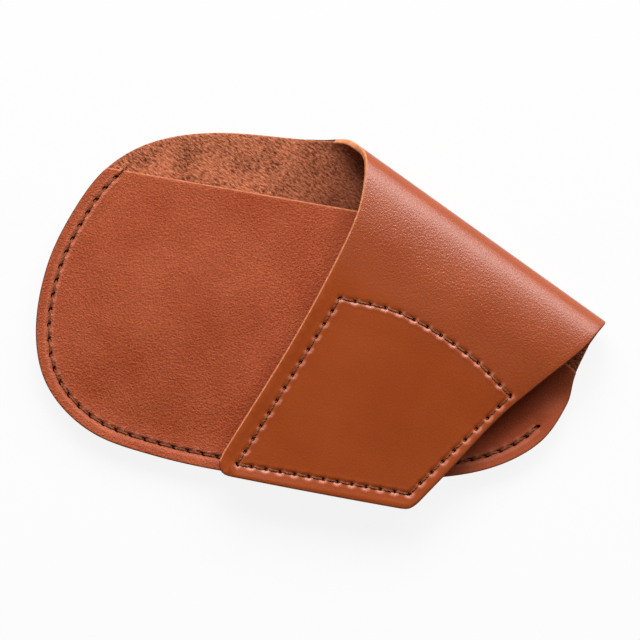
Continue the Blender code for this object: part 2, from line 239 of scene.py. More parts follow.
def smooth_path(points, step):
    """A smooth curve through the points, in steps of about one length, without overshoot."""
    ends = np.vstack([2 * points[0] - points[1], points, 2 * points[-1] - points[-2]])
    heading = ends[2:] - ends[:-2]
    heading = heading / np.linalg.norm(heading, axis=1)[:, None]
    out = []
    for start, end, leave, arrive in zip(points, points[1:], heading, heading[1:]):
        length = np.linalg.norm(end - start)
        count = max(1, round(length / step))
        for t in np.arange(count) / count:
            out.append(start * (2 * t**3 - 3 * t**2 + 1) + end * (3 * t**2 - 2 * t**3)
                       + length * (leave * (t**3 - 2 * t**2 + t) + arrive * (t**3 - t**2)))
    return np.array(out + [points[-1]])


def reach_along(path):
    return np.concatenate([[0], np.cumsum(np.linalg.norm(np.diff(path, axis=0), axis=1))])


def stations(path, places):
    reach = reach_along(path)
    return np.column_stack([np.interp(places, reach, path[:, i]) for i in range(2)])


def straight_path(start, end, step):
    count = max(1, round(np.linalg.norm(end - start) / step))
    return start + (end - start) * np.linspace(0, 1, count + 1)[:, None]


def even_path(path, pitch):
    """Points a whole number of pitches apart along a path, both ends included."""
    length = reach_along(path)[-1]
    return stations(path, np.linspace(0, length, max(1, round(length / pitch)) + 1))


def closed_loop(path):
    return np.vstack([path, path[:1]])


def directions(path, closed):
    run = np.roll(path, -1, axis=0) - np.roll(path, 1, axis=0) if closed else np.gradient(path, axis=0)
    return run / np.linalg.norm(run, axis=1)[:, None]


def left_of(run):
    return np.column_stack([-run[:, 1], run[:, 0]])


def inset_path(path, inset, closed=False):
    return path + inset * left_of(directions(path, closed))


def distance_to_path(points, path):
    start = path[:-1]
    run = np.diff(path, axis=0)
    near = np.full(len(points), np.inf)
    for s, r in zip(start, run):
        offset = points - s
        share = np.clip(offset @ r / (r @ r), 0, 1)
        near = np.minimum(near, np.linalg.norm(offset - share[:, None] * r, axis=1))
    return near


def smoothstep(value):
    value = np.clip(value, 0, 1)
    return value * value * (3 - 2 * value)


quarter = np.linspace(0, math.pi / 2, PROFILE_STEPS + 1)
drape = np.linspace(0, FLAP_DRAPE_TURN, PROFILE_STEPS + 1)
straight = np.linspace(0, FLAP_STRAIGHT, PROFILE_STEPS + 1)[1:]
drape_inward = (FOLD_REACH + FLAP_DRAPE_RADIUS * np.sin(drape))[1:]
drape_height = (ROLL_RADIUS + ROLL_MIDDLE - FLAP_DRAPE_RADIUS * (1 - np.cos(drape)))[1:]
profile_inward = np.concatenate([ROLL_RADIUS - ROLL_MIDDLE * np.sin(quarter),
                                 (FOLD_REACH - (FOLD_REACH - LEATHER / 2) * np.cos(quarter))[1:],
                                 drape_inward,
                                 drape_inward[-1] + straight * math.cos(FLAP_DRAPE_TURN)])
profile_height = np.concatenate([ROLL_RADIUS - ROLL_MIDDLE * np.cos(quarter),
                                 (ROLL_RADIUS + ROLL_MIDDLE * np.sin(quarter))[1:],
                                 drape_height,
                                 drape_height[-1] - straight * math.sin(FLAP_DRAPE_TURN)])
profile_round = reach_along(np.column_stack([profile_inward, profile_height]))
profile_turn = np.unwrap(np.arctan2(np.gradient(profile_height, profile_round),
                                    -np.gradient(profile_inward, profile_round)))
profile_turn[0] = 0
CREST = profile_round[PROFILE_STEPS]
ROLL_END = profile_round[2 * PROFILE_STEPS]


def lower_pattern(plan):
    """Plan points on the flat back as pattern points: along the fold, and round it."""
    offset = plan - FOLD_START
    return np.column_stack([offset @ FOLD_ALONG, ROLL_RADIUS - offset @ FOLD_INWARD])


def upper_pattern(folded):
    """Points of the folded flap, along the fold and inward from it, as pattern points."""
    around = np.interp(folded[:, 1], profile_inward[PROFILE_STEPS:], profile_round[PROFILE_STEPS:])
    return np.column_stack([folded[:, 0], around])


def droop(along, around):
    """How far the flap sags towards its free right side, where the pouch under it is flat."""
    hung = np.clip((along - DROOP_START) / DROOP_RUN, 0, None) ** 2
    return FLAP_DROOP * hung * smoothstep((around - CREST) / DROOP_BLEND)


def bend(pattern, inside):
    """Pattern points placed in space, moved off the leather's middle towards its flesh side."""
    along, around = pattern.T
    turn = np.interp(around, profile_round, profile_turn)
    inward = np.interp(around, profile_round, profile_inward) - np.minimum(around, 0)
    inward = inward + inside * np.sin(turn)
    height = np.interp(around, profile_round, profile_height) + inside * np.cos(turn)
    plan = FOLD_START + along[:, None] * FOLD_ALONG + inward[:, None] * FOLD_INWARD
    return np.column_stack([plan, height - droop(along, around)])


def inside_of(outline, points):
    """Whether each point is inside an outline, from the edges that a line to its right crosses."""
    x, y = points.T
    crossings = np.zeros(len(points), int)
    for (ax, ay), (bx, by) in zip(outline, np.roll(outline, -1, axis=0)):
        if ay != by:
            spans = (ay > y) != (by > y)
            crossings += spans & (x < ax + (y - ay) / (by - ay) * (bx - ax))
    return crossings % 2 == 1


# A ridge is its offset from the seam, its width and its height. A highlight line is painted highlight on a
# lit crest
# beside the seam: its offset, its width and a share for its paleness.
Seam = namedtuple("Seam", "holes closed slit slant channel lips ridges creases")


def seam_line(seam, offset=0.0):
    """A seam's line, or a line beside it, left of the way it was sewn."""
    beside = inset_path(seam.holes, offset, seam.closed)
    return closed_loop(beside) if seam.closed else beside


def hole_rings(seam):
    """The oval needle hole at each station of a seam, long along it."""
    run = directions(seam.holes, seam.closed)
    turns = np.linspace(0, 2 * math.pi, HOLE_SIDES, endpoint=False)
    long_way = np.cos(turns) * seam.slit[0] / 2
    short_way = np.sin(turns) * seam.slit[1] / 2
    along = long_way * math.cos(seam.slant) - short_way * math.sin(seam.slant)
    aside = long_way * math.sin(seam.slant) + short_way * math.cos(seam.slant)
    return [hole + np.outer(along, r) + np.outer(aside, side)
            for hole, r, side in zip(seam.holes, run, left_of(run))]


def lips_and_highlight_lines(points, seam):
    """One at each hole's lip, and less along each highlight line. The lips are raised in the relief; their
    pale colour is partly stretched grain and partly painted highlight, put on the side of each hole that
    faces the light.
    """
    stretch = np.zeros(len(points))
    for offset, width, share in seam.creases:
        away = distance_to_path(points, seam_line(seam, offset))
        stretch = np.maximum(stretch, share * np.exp(-(away / width) ** 2))
    for lip in seam.lips:
        stretch = np.maximum(stretch, np.exp(-((points - lip) ** 2).sum(axis=1) / LIP_WIDTH**2))
    return stretch


def seam_relief(points, seam):
    """How the stitches draw the grain down in a channel and puff it up beside it."""
    away = distance_to_path(points, seam_line(seam))
    lips = lips_and_highlight_lines(points, seam._replace(creases=()))
    rise = LIP_RISE * lips - seam.channel * np.exp(-(away / CHANNEL_WIDTH) ** 2)
    for offset, width, height in seam.ridges:
        rise += height * np.exp(-(distance_to_path(points, seam_line(seam, offset)) / width) ** 2)
    for hole in seam.holes:
        rise -= DIMPLE_DEPTH * np.exp(-((points - hole) ** 2).sum(axis=1) / DIMPLE_WIDTH**2)
    return rise


def slow_waves(points):
    """The gentle unevenness of a hide, the same in every run."""
    x, y = points.T / MM
    first, second = (np.sin(a * x + b * y + phase) for a, b, phase in HIDE_WAVES)
    across, along = (np.sin(a * x + b * y + phase) for a, b, phase in CROSSED_WAVES)
    return WAVE_RISE * (first + second + CROSSED_SHARE * across * along)


def inner_spots(outline, skin_edge, seam, rings):
    """Points to mesh a skin with: a coarse staggered grid, and close rows along the seam."""
    low, high = outline.min(axis=0), outline.max(axis=0)
    across, up = np.meshgrid(np.arange(low[0], high[0], SHEET_STEP),
                             np.arange(low[1], high[1], SHEET_STEP * ROW_SHARE))
    across = across + np.arange(len(across))[:, None] % 2 * SHEET_STEP / 2
    coarse = np.column_stack([across.ravel(), up.ravel()])
    line = seam_line(seam)
    coarse = coarse[distance_to_path(coarse, line) > SEAM_BAND + SHEET_STEP / 2]
    fine = even_path(line, SEAM_STEP)[:-1]
    offsets = np.arange(-SEAM_BAND, SEAM_BAND + SEAM_STEP / 2, SEAM_STEP)
    fine = np.vstack([inset_path(fine, offset, seam.closed) for offset in offsets])
    for ring in rings:
        middle = ring.mean(axis=0)
        fine = fine[~inside_of(middle + (ring - middle) * HOLE_CLEAR, fine)]
    spots = np.vstack([coarse, fine])
    spots = spots[inside_of(skin_edge, spots)]
    return spots[distance_to_path(spots, closed_loop(skin_edge)) > SEAM_STEP]


def meshed_skin(loops, spots):
    """A flat skin that follows the loops: points, triangles, each point's loop, each loop's points."""
    points = np.vstack([*loops, spots])
    owner = np.concatenate([np.full(len(loop), i) for i, loop in enumerate(loops)])
    members = [np.flatnonzero(owner == i).tolist() for i in range(len(loops))]
    edges = [edge for loop in members for edge in zip(loop, loop[1:] + loop[:1])]
    corners = [Vector(point) for point in (points / MM).tolist()]
    flat, _, faces, origins, _, _ = delaunay_2d_cdt(corners, edges, [], INSIDE_ONLY, SAME_POINT)
    flat = np.array([tuple(point) for point in flat]) * MM
    owners = np.array([owner[o[0]] if o and o[0] < len(owner) else -1 for o in origins])
    place_of = {o[0]: i for i, o in enumerate(origins) if o}
    return flat, faces, owners, [[place_of[m] for m in loop] for loop in members]


def wound(face, forward):
    return tuple(face) if forward else tuple(reversed(face))


def leather_sheet(name, outline, seam, place, thickness, relief, grain_sign, grain_of, pale):
    """A cut of leather from its flat pattern: a pierced grain skin, a flesh skin and a round rim.

    place(points, offset) puts pattern points in space; grain_sign is the grain side's offset sign.
    pale tells for each point of the outline whether its cut shows pale or dark.
    """
    rings = hole_rings(seam)
    skin_edge = inset_path(outline, EDGE_ROUND, True)
    spots = inner_spots(outline, skin_edge, seam, rings)
    flat, faces, owners, (edge_loop, *hole_loops) = meshed_skin([skin_edge, *rings], spots)
    count = len(flat)
    forward = grain_sign > 0
    over_hole = [owners[a] > 0 and owners[a] == owners[b] == owners[c] for a, b, c in faces]
    rise = relief(flat)
    grain_skin = place(flat, grain_sign * (thickness / 2 + rise))
    flesh_skin = place(flat, -grain_sign * np.full(count, thickness / 2))
    pit = place(flat, grain_sign * np.full(count, thickness / 2 - HOLE_DEPTH_SHARE * thickness))
    in_ring = np.flatnonzero(owners > 0)
    pit_of = {v: 2 * count + i for i, v in enumerate(in_ring.tolist())}
    vertices = [grain_skin, flesh_skin, pit[in_ring]]
    patterns = [flat, flat, flat[in_ring]]
    # deep is one at the hole floors, which the grain finish paints with shade.
    deep = [np.zeros(count), np.zeros(count), np.ones(len(in_ring))]
    grain_faces = [wound(f, forward) for f, over in zip(faces, over_hole) if not over]
    flesh_faces = [wound([v + count for v in f], not forward) for f in faces]
    pit_faces = [wound([pit_of[v] for v in f], forward) for f, over in zip(faces, over_hole) if over]
    for loop in hole_loops:
        for a, b in zip(loop, loop[1:] + loop[:1]):
            pit_faces.append(wound((a, b, pit_of[b], pit_of[a]), forward))
    rows = [edge_loop]
    start = 2 * count + len(in_ring)
    for side in (1, -1):
        for turn in EDGE_TURNS[::side]:
            ring = inset_path(outline, EDGE_ROUND * (1 - math.sin(turn)), True)
            offset = np.full(len(ring), side * (thickness / 2 - EDGE_ROUND * (1 - math.cos(turn))))
            if side == 1:
                offset = offset + rise[edge_loop] * math.cos(turn)
            vertices.append(place(ring, grain_sign * offset))
            patterns.append(ring)
            deep.append(np.zeros(len(ring)))
            rows.append(list(range(start, start + len(ring))))
            start += len(ring)
    rows.append([v + count for v in edge_loop])
    cut_strips = len(rows) - 1 - GRAIN_STRIPS - FLESH_STRIPS
    strips = [GRAIN] * GRAIN_STRIPS + [DARK_CUT] * cut_strips + [FLESH] * FLESH_STRIPS
    rim_faces = []
    rim_finishes = []
    for strip, upper, lower in zip(strips, rows, rows[1:]):
        for i in range(len(upper)):
            j = (i + 1) % len(upper)
            rim_faces.append(wound((upper[j], upper[i], lower[i], lower[j]), forward))
            rim_finishes.append(PALE_CUT if pale[i] else strip)
    mesh = bpy.data.meshes.new(name)
    mesh.from_pydata(np.vstack(vertices).tolist(), [], [*grain_faces, *flesh_faces, *rim_faces, *pit_faces])
    finishes = np.concatenate([np.full(len(grain_faces), GRAIN), np.full(len(flesh_faces), FLESH),
                               rim_finishes, np.full(len(pit_faces), GRAIN)]).astype(np.int32)
    mesh.polygons.foreach_set("material_index", finishes)
    laid = np.vstack(patterns)
    flat_place = np.column_stack([laid, np.zeros(len(laid))])
    mesh.attributes.new("pattern", "FLOAT_VECTOR", "POINT").data.foreach_set("vector", flat_place.ravel())
    levels = {"deep": np.concatenate(deep), "grain": grain_of(laid), "lips": lips_and_highlight_lines(laid, seam)}
    for label, values in levels.items():
        mesh.attributes.new(label, "FLOAT", "POINT").data.foreach_set("value", values)
    mesh.shade_smooth()
    mesh.set_sharp_from_angle(angle=HARD_ANGLE)
    return add_object(name, mesh)


back_edge = smooth_path(BACK_EDGE, EDGE_STEP)
mouth_first = np.argmax(back_edge[:, 1] < MOUTH_Y)
seam_last = len(back_edge) - 1 - np.argmax(back_edge[::-1, 1] < SEAM_END_Y)
pocket_seam = inset_path(back_edge[mouth_first:seam_last + 1], SEAM_INSET)
pocket_holes = even_path(pocket_seam, STITCH_PITCH)
seam_runs = [straight_path(start, end, EDGE_STEP)
             for start, end in zip(FLAP_SEAM_CORNERS, FLAP_SEAM_CORNERS[1:])]
seam_runs.append(smooth_path(FLAP_SEAM_BOW, EDGE_STEP))
flap_seam = np.vstack([upper_pattern(run)[:-1] for run in seam_runs])
flap_holes = np.vstack([even_path(upper_pattern(run), STITCH_PITCH)[:-1] for run in seam_runs])
lip_sides = FLAP_LIP_REACH * np.column_stack([np.cos(FLAP_LIP_TURNS), np.sin(FLAP_LIP_TURNS)])
flap_lips = np.vstack([flap_holes + side for side in lip_sides])
flap_sewing = Seam(flap_holes, True, FLAP_SLIT, FLAP_SLANT, FLAP_CHANNEL, flap_lips, FLAP_RIDGES, ())


def rim_height(plan):
    """How far the back's rim is drawn up by the pocket seam, and turned up outside it at the bottom."""
    away = distance_to_path(plan, pocket_seam)
    outside = np.clip(1 - distance_to_path(plan, back_edge) / SEAM_INSET, 0, 1)
    low, high = RIM_TURN_SPAN
    outside = outside * (1 - smoothstep((plan[:, 1] - low) / (high - low)))
    return (RIM_LIFT + RIM_TURNED_UP * outside) * (1 - smoothstep((away - SEAM_INSET) / RIM_BLEND))


def place_back_and_flap(pattern, inside):
    place = bend(pattern, inside)
    place[:, 2] += np.where(pattern[:, 1] < 0, rim_height(place[:, :2]), 0)
    return place


def back_and_flap_relief(pattern):
    waves = slow_waves(pattern) * smoothstep((pattern[:, 1] - CREST) / (ROLL_END - CREST))
    margin = 1 - smoothstep(distance_to_path(pattern, closed_loop(sheet_edge)) / FLAP_EDGE_MARGIN)
    lift = FLAP_EDGE_LIFT * margin * smoothstep((pattern[:, 1] - FLAP_EDGE_START) / FLAP_EDGE_BLEND)
    return waves + lift + seam_relief(pattern, flap_sewing)


def back_and_flap_grain(pattern):
    """Pressed smooth on the flap, and wrinkled where the fold runs out into it."""
    away = (pattern[:, 1] - WRINKLE_PLACE * ROLL_END) / (WRINKLE_SPREAD * ROLL_END)
    return PRESSED_GRAIN + WRINKLE_GRAIN * np.exp(-(away**2))


roll_right = np.array([lower_pattern(back_edge[-1:])[0], (CREST_RIGHT, CREST),
                       upper_pattern(FLAP_RIGHT[-1:])[0]])
flap_left = upper_pattern(smooth_path(FLAP_LEFT, EDGE_STEP))
roll_left = smooth_path(np.array([flap_left[1], flap_left[0], CREST_LEFT[0], CREST_LEFT[1],
                                  lower_pattern(back_edge[:1])[0]]), EDGE_STEP)
sheet_edge = np.vstack([lower_pattern(back_edge),
                        smooth_path(roll_right, EDGE_STEP)[1:-1],
                        upper_pattern(smooth_path(FLAP_RIGHT, EDGE_STEP))[::-1],
                        upper_pattern(smooth_path(FLAP_END, EDGE_STEP))[::-1],
                        flap_left[::-1][:-1],
                        roll_left[2:-1]])
sheet_edge = even_path(closed_loop(sheet_edge), EDGE_STEP)[:-1]

# Finishes of the hide: dyed grain, suede and cut edges. A noise is its scale, detail and roughness.
TAN_DYE = (0.352, 0.057, 0.008, 1)
TAN_PALE = (0.382, 0.067, 0.011, 1)
# Painted shade at the floor of each needle hole.
HOLE_SHADE = (0.012, 0.004, 0.002, 1)
# The holes' pale lips: partly stretched grain, partly painted highlight.
PALE_LIP_AND_HIGHLIGHT = (0.78, 0.27, 0.17, 1)
LIP_WEAR_AND_HIGHLIGHT = 0.75
PEBBLE_SCALE = 3000
PEBBLE_SMOOTHNESS = 0.6
PEBBLE_SHARE = 0.6
PEBBLE_SHIFT = (0.0006, 0.0006, 0.0006)
SHIFT_SCALE = 1000
RIPPLE_NOISE = (2300, 2.0, 0.6)
CLOUD_NOISE = (75, 3.0)
MIDDLE_NOISE = (0.35, 0.65)
VALLEY_HEIGHTS = (0.45, 1.0)
VALLEY_SHADES = (0.74, 1.24)
SHEEN_HEIGHTS = (0.4, 1.0)
SHEEN_SPREAD = (0.1, -0.06)
FLAP_GRAIN_DEPTH = 0.12 * MM
FLAP_ROUGHNESS = 0.37
FLAT_GLOSS = 0.4
FOLD_GLOSS = 0.85
FOLD_GRAIN = (0.23, 0.36)
SUEDE_PALE = (0.78, 0.25, 0.12, 1)
SUEDE_DARK = (0.10, 0.02, 0.007, 1)
NAP_BRUSHED = (0.45, 1, 1)
NAP_NOISE = (2400, 3.0, 0.7)
PATCH_NOISE = (160, 2.0)
PATCH_SHARE = 0.35
TUFT_HEIGHTS = (0.5, 0.84)
NAP_DEPTH = 0.4 * MM
NAP_STRENGTH = 0.9
NAP_ROUGHNESS = 0.95
NAP_GLOSS = 0.15
# Painted shade on the back's suede by the fold, beside the flap's left end: where it starts, where it
# fades, and how dark it gets.
PAINTED_SHADE_FROM = (-14 * MM, -1 * MM)
PAINTED_SHADE_TO = (8 * MM, 20 * MM)
PAINTED_SHADE_ROUND = (1 * MM, 9 * MM)
PAINTED_SHADE = 0.6
EDGE_PALE = (0.76, 0.29, 0.13, 1)
EDGE_DARK = (0.60, 0.20, 0.085, 1)
DARK_EDGE_PALE = (0.16, 0.04, 0.014, 1)
DARK_EDGE_DARK = (0.07, 0.018, 0.007, 1)
FIBRE_NOISE = (1300, 3.0)
FIBRE_DEPTH = 0.1 * MM
FIBRE_STRENGTH = 0.4
CUT_ROUGHNESS = 0.8
CUT_GLOSS = 0.2
PALE_LEFT = 10.9 * MM
PALE_START = 4.5 * MM


def new_finish(name):
    made = bpy.data.materials.new(name)
    made.use_nodes = True
    return made, made.node_tree.nodes, made.node_tree.links, made.node_tree.nodes["Principled BSDF"]


def feed(links, given, socket):
    """Set a socket to a value, or link it to another node."""
    if isinstance(given, (tuple, float)):
        socket.default_value = given
    else:
        links.new(given, socket)


def attribute(nodes, name, output):
    made = nodes.new("ShaderNodeAttribute")
    made.attribute_name = name
    return made.outputs[output]


def noise(nodes, links, place, scale, detail, roughness=0.5):
    made = nodes.new("ShaderNodeTexNoise")
    made.inputs["Scale"].default_value = scale
    made.inputs["Detail"].default_value = detail
    made.inputs["Roughness"].default_value = roughness
    links.new(place, made.inputs["Vector"])
    return made.outputs["Fac"]


def noise_colour(nodes, links, place, scale):
    made = nodes.new("ShaderNodeTexNoise")
    made.inputs["Scale"].default_value = scale
    links.new(place, made.inputs["Vector"])
    return made.outputs["Color"]


def mapped(nodes, links, value, low, high, to_low, to_high):
    made = nodes.new("ShaderNodeMapRange")
    for socket, number in zip(("From Min", "From Max", "To Min", "To Max"), (low, high, to_low, to_high)):
        made.inputs[socket].default_value = number
    links.new(value, made.inputs["Value"])
    return made.outputs["Result"]


def mixed(nodes, links, share, first, second, blend="MIX"):
    """Two colours mixed by a share; the numbers are the colour sockets of a Mix node."""
    made = nodes.new("ShaderNodeMix")
    made.data_type = "RGBA"
    made.blend_type = blend
    for socket, given in ((0, share), (6, first), (7, second)):
        feed(links, given, made.inputs[socket])
    return made.outputs[2]


def arithmetic(nodes, links, operation, first, second=0.0):
    made = nodes.new("ShaderNodeMath")
    made.operation = operation
    feed(links, first, made.inputs[0])
    feed(links, second, made.inputs[1])
    return made.outputs["Value"]


def grey(nodes, links, value):
    made = nodes.new("ShaderNodeCombineColor")
    for channel in ("Red", "Green", "Blue"):
        links.new(value, made.inputs[channel])
    return made.outputs["Color"]


def roughen(nodes, links, shader, height, depth, strength):
    """Bump a finish by a height."""
    bump = nodes.new("ShaderNodeBump")
    bump.inputs["Distance"].default_value = depth
    feed(links, strength, bump.inputs["Strength"])
    links.new(height, bump.inputs["Height"])
    links.new(bump.outputs["Normal"], shader.inputs["Normal"])


def grain_leather(name, colour, pale, grain_depth, roughness, gloss):
    """Dyed grain: fine pebbles with darker valleys, cloudy dye, pale lips by the holes that are partly
    painted highlight, and painted shade at the needle holes' floors.
    """
    made, nodes, links, shader = new_finish(name)
    place = attribute(nodes, "pattern", "Vector")
    grain = attribute(nodes, "grain", "Fac")
    pebbles = nodes.new("ShaderNodeTexVoronoi")
    pebbles.feature = "SMOOTH_F1"
    pebbles.inputs["Scale"].default_value = PEBBLE_SCALE
    pebbles.inputs["Smoothness"].default_value = PEBBLE_SMOOTHNESS
    shifted = nodes.new("ShaderNodeVectorMath")
    shifted.operation = "MULTIPLY_ADD"
    shifted.inputs[1].default_value = PEBBLE_SHIFT
    links.new(noise_colour(nodes, links, place, SHIFT_SCALE), shifted.inputs[0])
    links.new(place, shifted.inputs[2])
    links.new(shifted.outputs["Vector"], pebbles.inputs["Vector"])
    height = arithmetic(nodes, links, "MULTIPLY", pebbles.outputs["Distance"], PEBBLE_SHARE)
    height = arithmetic(nodes, links, "ADD", height, noise(nodes, links, place, *RIPPLE_NOISE))
    clouds = mapped(nodes, links, noise(nodes, links, place, *CLOUD_NOISE), *MIDDLE_NOISE, 0.0, 1.0)
    dyed = mixed(nodes, links, clouds, colour, pale)
    valley = mapped(nodes, links, height, *VALLEY_HEIGHTS, *VALLEY_SHADES)
    valley = arithmetic(nodes, links, "SUBTRACT", valley, 1.0)
    valley = arithmetic(nodes, links, "MULTIPLY", valley, grain)
    valley = arithmetic(nodes, links, "ADD", valley, 1.0)
    dyed = mixed(nodes, links, 1.0, dyed, grey(nodes, links, valley), "MULTIPLY")
    # Pale lips and lines by the holes: partly stretched grain, partly painted highlight.
    lips = arithmetic(nodes, links, "MULTIPLY", attribute(nodes, "lips", "Fac"), LIP_WEAR_AND_HIGHLIGHT)
    dyed = mixed(nodes, links, lips, dyed, PALE_LIP_AND_HIGHLIGHT)
    # Painted shade: the floor of each needle hole is mixed towards near black.
    deep = attribute(nodes, "deep", "Fac")
    links.new(mixed(nodes, links, deep, dyed, HOLE_SHADE), shader.inputs["Base Color"])
    roughen(nodes, links, shader, height, grain_depth, grain)
    rough, polished = (roughness + change for change in SHEEN_SPREAD)
    links.new(mapped(nodes, links, height, *SHEEN_HEIGHTS, rough, polished), shader.inputs["Roughness"])
    shader.inputs["Specular IOR Level"].default_value = gloss
    return made


def polish_fold(finish):
    """Handling has polished the fold, and the flat of the flap has stayed duller."""
    nodes, links = finish.node_tree.nodes, finish.node_tree.links
    gloss = mapped(nodes, links, attribute(nodes, "grain", "Fac"), *FOLD_GRAIN, FLAT_GLOSS, FOLD_GLOSS)
    links.new(gloss, nodes["Principled BSDF"].inputs["Specular IOR Level"])


def suede(name, pale, dark):
    """The flesh side: a nap brushed along the fold, dark between its tufts, with painted shade on the back
    beside the flap's left end by the fold.
    """
    made, nodes, links, shader = new_finish(name)
    place = attribute(nodes, "pattern", "Vector")
    brushed = nodes.new("ShaderNodeMapping")
    brushed.inputs["Scale"].default_value = NAP_BRUSHED
    links.new(place, brushed.inputs["Vector"])
    nap = noise(nodes, links, brushed.outputs["Vector"], *NAP_NOISE)
    patches = arithmetic(nodes, links, "MULTIPLY", noise(nodes, links, place, *PATCH_NOISE), PATCH_SHARE)
    tufts = arithmetic(nodes, links, "ADD", nap, patches)
    tufts = mapped(nodes, links, tufts, *TUFT_HEIGHTS, 0.0, 1.0)
    napped = mixed(nodes, links, tufts, dark, pale)
    # Painted shade: mixed towards the dark nap colour by the fold, beside the flap's left end.
    ways = nodes.new("ShaderNodeSeparateXYZ")
    links.new(place, ways.inputs["Vector"])
    painted_shade = mapped(nodes, links, ways.outputs["X"], *PAINTED_SHADE_FROM, 0.0, PAINTED_SHADE)
    for way, span in (("X", PAINTED_SHADE_TO), ("Y", PAINTED_SHADE_ROUND)):
        fading = mapped(nodes, links, ways.outputs[way], *span, 1.0, 0.0)
        painted_shade = arithmetic(nodes, links, "MULTIPLY", painted_shade, fading)
    links.new(mixed(nodes, links, painted_shade, napped, dark), shader.inputs["Base Color"])
    roughen(nodes, links, shader, nap, NAP_DEPTH, NAP_STRENGTH)
    shader.inputs["Roughness"].default_value = NAP_ROUGHNESS
    shader.inputs["Specular IOR Level"].default_value = NAP_GLOSS
    return made


def cut_edge(name, pale, dark):
    """The cut through the hide: fibres mottled between a pale and a dark brown."""
    made, nodes, links, shader = new_finish(name)
    place = attribute(nodes, "pattern", "Vector")
    fibre = mapped(nodes, links, noise(nodes, links, place, *FIBRE_NOISE), *MIDDLE_NOISE, 0.0, 1.0)
    links.new(mixed(nodes, links, fibre, dark, pale), shader.inputs["Base Color"])
    roughen(nodes, links, shader, fibre, FIBRE_DEPTH, FIBRE_STRENGTH)
    shader.inputs["Roughness"].default_value = CUT_ROUGHNESS
    shader.inputs["Specular IOR Level"].default_value = CUT_GLOSS
    return made


flap_grain = grain_leather("flap_grain", TAN_DYE, TAN_PALE, FLAP_GRAIN_DEPTH, FLAP_ROUGHNESS, FLAT_GLOSS)
polish_fold(flap_grain)
tan_suede = suede("tan_suede", SUEDE_PALE, SUEDE_DARK)
pale_cut = cut_edge("pale_cut_edge", EDGE_PALE, EDGE_DARK)
dark_cut = cut_edge("dark_cut_edge", DARK_EDGE_PALE, DARK_EDGE_DARK)
flap_left_cut = (sheet_edge[:, 0] < PALE_LEFT) & (sheet_edge[:, 1] > PALE_START)
back_and_flap = leather_sheet("back_and_flap_leather", sheet_edge, flap_sewing, place_back_and_flap,
                              LEATHER, back_and_flap_relief, -1, back_and_flap_grain, flap_left_cut)
for finish in (flap_grain, tan_suede, pale_cut, dark_cut):
    back_and_flap.data.materials.append(finish)
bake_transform(back_and_flap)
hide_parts("back_panel", "flap")


# Pocket leather
# A second cut of the same hide, sewn on the back round the left, the bottom and the right.
# It bulges over the room for the picks, and its straight mouth is left open.
POCKET_CROWN = 2.0 * MM
POCKET_RISE = 34.0 * MM
POCKET_PRESSED = 0.5
PRESS_START = -16.0 * MM
PRESS_SPAN = 26.0 * MM
LAY_GAP = 0.3 * MM
POCKET_LEVEL = 1.5 * LEATHER + LAY_GAP
MOUTH_BEND = np.array([13.0, 21.4]) * MM
MOUTH_END = np.array([54.6, -2.2]) * MM
POCKET_DYE = (0.37, 0.062, 0.017, 1)
POCKET_PALE = (0.43, 0.086, 0.029, 1)
POCKET_GRAIN_DEPTH = 0.17 * MM
POCKET_ROUGHNESS = 0.6
POCKET_GLOSS = 0.24
MOUTH_PALE = (0.58, 0.19, 0.09, 1)
MOUTH_DARK = (0.44, 0.12, 0.05, 1)
POCKET_SLIT = (1.5 * MM, 0.68 * MM)
POCKET_SLANT = math.radians(-18)
POCKET_CHANNEL = 0.22 * MM
# Lips on the side of each hole that the light falls on; their pale colour is partly painted highlight.
POCKET_LIP_REACH = 1.25 * MM
POCKET_LIP_ASIDE = 0.45 * MM
POCKET_RIDGES = ((0.75 * MM, 0.32 * MM, 0.12 * MM), (1.6 * MM, 0.9 * MM, 0.1 * MM))
# Painted highlight: pale lines along the lit crests just inside and outside the pocket's seam.
POCKET_HIGHLIGHT_LINES = ((0.72 * MM, 0.2 * MM, 0.45), (-0.8 * MM, 0.3 * MM, 0.35))
SMOOTH_RIGHT = 12.0 * MM
SMOOTH_GRAIN = 0.35

pocket_run = directions(pocket_holes, False)
pocket_lips = pocket_holes + POCKET_LIP_REACH * pocket_run + POCKET_LIP_ASIDE * left_of(pocket_run)
pocket_sewing = Seam(pocket_holes, False, POCKET_SLIT, POCKET_SLANT, POCKET_CHANNEL, pocket_lips,
                     POCKET_RIDGES, POCKET_HIGHLIGHT_LINES)


def pocket_height(plan):
    """The pocket's middle: on the back's rim at the seam, and crowned where picks lie."""
    away = distance_to_path(plan, pocket_seam)
    pressed = smoothstep((plan[:, 0] - PRESS_START) / PRESS_SPAN)
    short = 1 - np.clip((away - SEAM_INSET) / POCKET_RISE, 0, 1)
    crown = POCKET_CROWN * (1 - POCKET_PRESSED * pressed) * (1 - short**2)
    rim = rim_height(plan)
    spanned = np.maximum(RIM_LIFT - rim, 0) * (1 - pressed)
    return POCKET_LEVEL + rim + spanned + crown


def place_pocket(plan, upward):
    return np.column_stack([plan, pocket_height(plan) + upward])


def pocket_relief(plan):
    return slow_waves(plan) + seam_relief(plan, pocket_sewing)


def pocket_grain_depth(plan):
    """Full grain, but rubbed smooth on the right, under the flap."""
    return 1 - (1 - SMOOTH_GRAIN) * smoothstep(plan[:, 0] / SMOOTH_RIGHT)


def smooth_grain(pattern):
    return np.full(len(pattern), SMOOTH_GRAIN)


